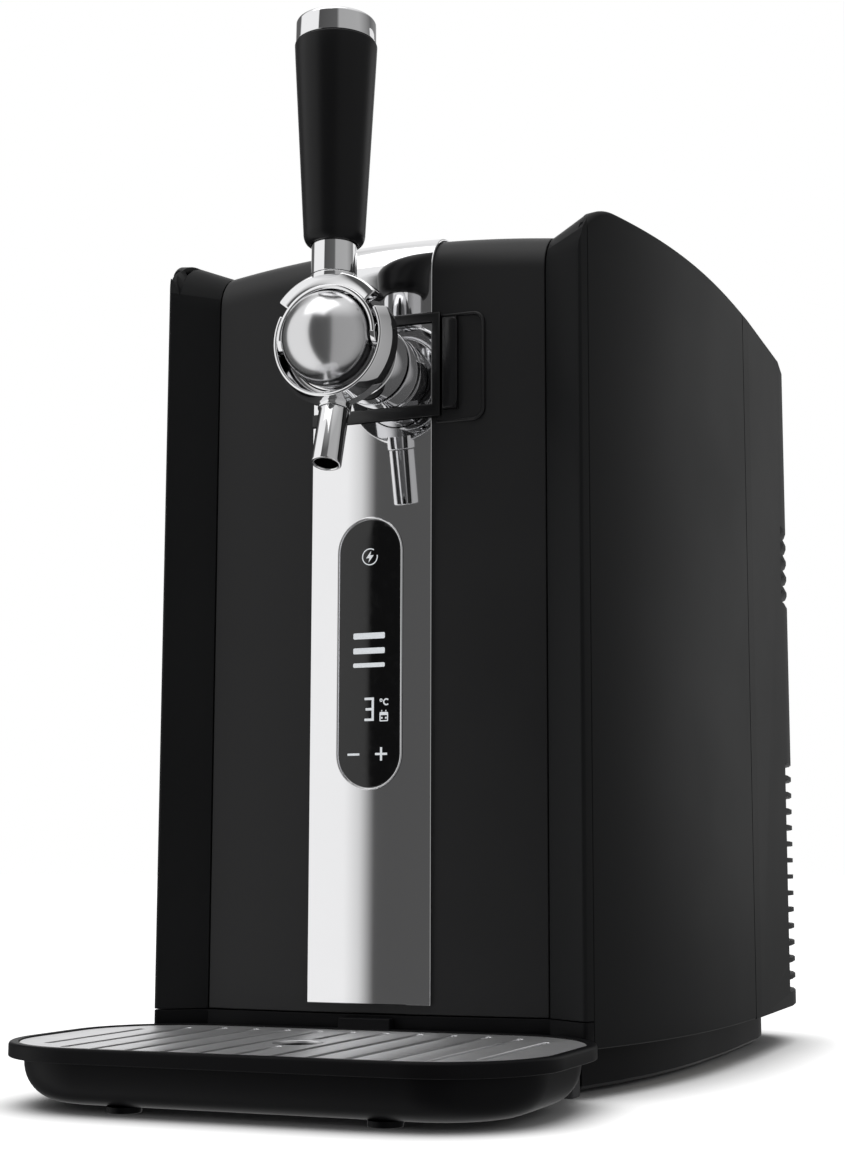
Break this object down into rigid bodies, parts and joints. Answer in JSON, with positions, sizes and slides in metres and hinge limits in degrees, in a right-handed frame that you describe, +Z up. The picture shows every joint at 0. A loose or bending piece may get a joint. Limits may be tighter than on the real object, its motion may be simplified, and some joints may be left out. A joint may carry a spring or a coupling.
{
  "type": "mini keg beer dispenser",
  "caption": "Countertop beer dispenser: cooled cabinet with a swinging front, lever tap with a handle, round-ended display and a removable slotted drip tray.",
  "frame": {"origin": "middle of the whole machine's footprint, on the surface that its feet stand on", "axes": "+Z up, -Y towards the front with the tap and the drip tray, +X to the right as seen from behind the tap by someone who looks along +Y"},
  "size_m": [0.265, 0.4916, 0.4795],
  "materials": {
    "black_shell": "fine satin black moulding",
    "black_panel": "satin black front panel",
    "black_base": "matte black moulding",
    "black_trim": "smooth black trim",
    "black_grip": "satin black handle",
    "grey_foot": "dark grey rubber",
    "chrome": "polished chrome",
    "satin_steel": "satin steel",
    "aluminium": "plain aluminium",
    "display_black": "glossy black display cover",
    "liner_grey": "smooth grey chamber liner",
    "foam_cream": "cream insulation foam",
    "rubber_black": "soft black gasket",
    "board_green": "green circuit board",
    "ceramic_white": "white ceramic faces",
    "hose_silicone": "clear silicone hose"
  },
  "bodies": {
    "cabinet": {"side_shell_right": "black_shell", "side_shell_left": "black_shell", "rear_cover": "black_shell", "top_cover": "black_shell", "front_fascia": "black_base", "front_frame": "black_base", "catch_strip": "satin_steel", "base_plinth": "black_base", "foot_rear_left": "grey_foot", "foot_rear_right": "grey_foot", "foot_front_left": "grey_foot", "foot_front_right": "grey_foot", "chamber_liner": "liner_grey", "liner_back": "liner_grey", "insulation_jacket": "foam_cream", "cold_plate": "aluminium", "thermoelectric_module": "ceramic_white", "heat_sink": "aluminium", "fan_housing": "black_trim", "keg_coupler": "black_trim", "air_hose": "hose_silicone", "air_pump_body": "black_trim", "air_pump_motor": "satin_steel", "power_board": "board_green", "power_inlet": "black_trim", "switch_frame": "black_trim", "hinge_leaf_lower": "satin_steel", "hinge_leaf_upper": "satin_steel", "hinge_pin_lower": "satin_steel", "hinge_pin_upper": "satin_steel"},
    "door": {"door_shell": "black_shell", "door_front_panel": "black_panel", "door_liner": "liner_grey", "door_foam": "foam_cream", "door_gasket": "rubber_black", "chrome_strip_lower": "chrome", "chrome_strip_upper": "chrome", "tap_plate": "chrome", "tap_frame": "black_trim", "pull_pin": "satin_steel", "display_glass": "display_black", "display_bezel": "chrome", "display_board": "board_green", "tap_shank": "chrome", "shank_nut": "satin_steel", "tap_collar": "chrome", "tap_ball": "chrome", "lever_pivot_pin": "satin_steel", "spout": "chrome"},
    "pull": {"door_pull": "black_trim"},
    "lever": {"lever_yoke": "chrome", "lever_stem": "chrome", "handle_grip": "black_grip", "handle_cap": "chrome"},
    "plunger": {"pinch_plunger": "black_trim"},
    "tray": {"tray_bowl": "black_base", "tray_rim": "black_base"},
    "grate": {"drip_grate": "satin_steel"},
    "fan": {"fan_rotor": "black_trim"},
    "rocker": {"switch_rocker": "black_trim"}
  },
  "joints": [
    {"name": "door_hinge", "type": "hinge", "parent": "cabinet", "child": "door", "pos_m": [-0.103, -0.1157, 0.2], "axis": [0, 0, -1], "range_deg": [0, 95]},
    {"name": "door_pull_hinge", "type": "hinge", "parent": "door", "child": "pull", "pos_m": [0.0362, -0.1106, 0.3261], "axis": [0, 0, -1], "range_deg": [0, 18], "stiffness_Nm_per_rad": 0.01},
    {"name": "tap_lever", "type": "hinge", "parent": "door", "child": "lever", "pos_m": [0, -0.1592, 0.3288], "axis": [1, 0, 0], "range_deg": [0, 35]},
    {"name": "plunger_slide", "type": "slide", "parent": "door", "child": "plunger", "axis": [0, -1, 0], "range_m": [0, 0.003]},
    {"name": "tray_slide", "type": "slide", "parent": "cabinet", "child": "tray", "axis": [0, -1, 0], "range_m": [0, 0.22]},
    {"name": "grate_lift", "type": "slide", "parent": "tray", "child": "grate", "axis": [0, 0, 1], "range_m": [0, 0.03]},
    {"name": "fan_spin", "type": "hinge", "parent": "cabinet", "child": "fan", "pos_m": [0, 0.176, 0.115], "axis": [0, 1, 0], "continuous": true},
    {"name": "power_rocker", "type": "hinge", "parent": "cabinet", "child": "rocker", "pos_m": [-0.01, 0.2388, 0.205], "axis": [1, 0, 0], "range_deg": [0, 16]}
  ],
  "couplings": [
    {"joint": "plunger_slide", "follows": "tap_lever", "m_per_rad": 0.0049}
  ]
}
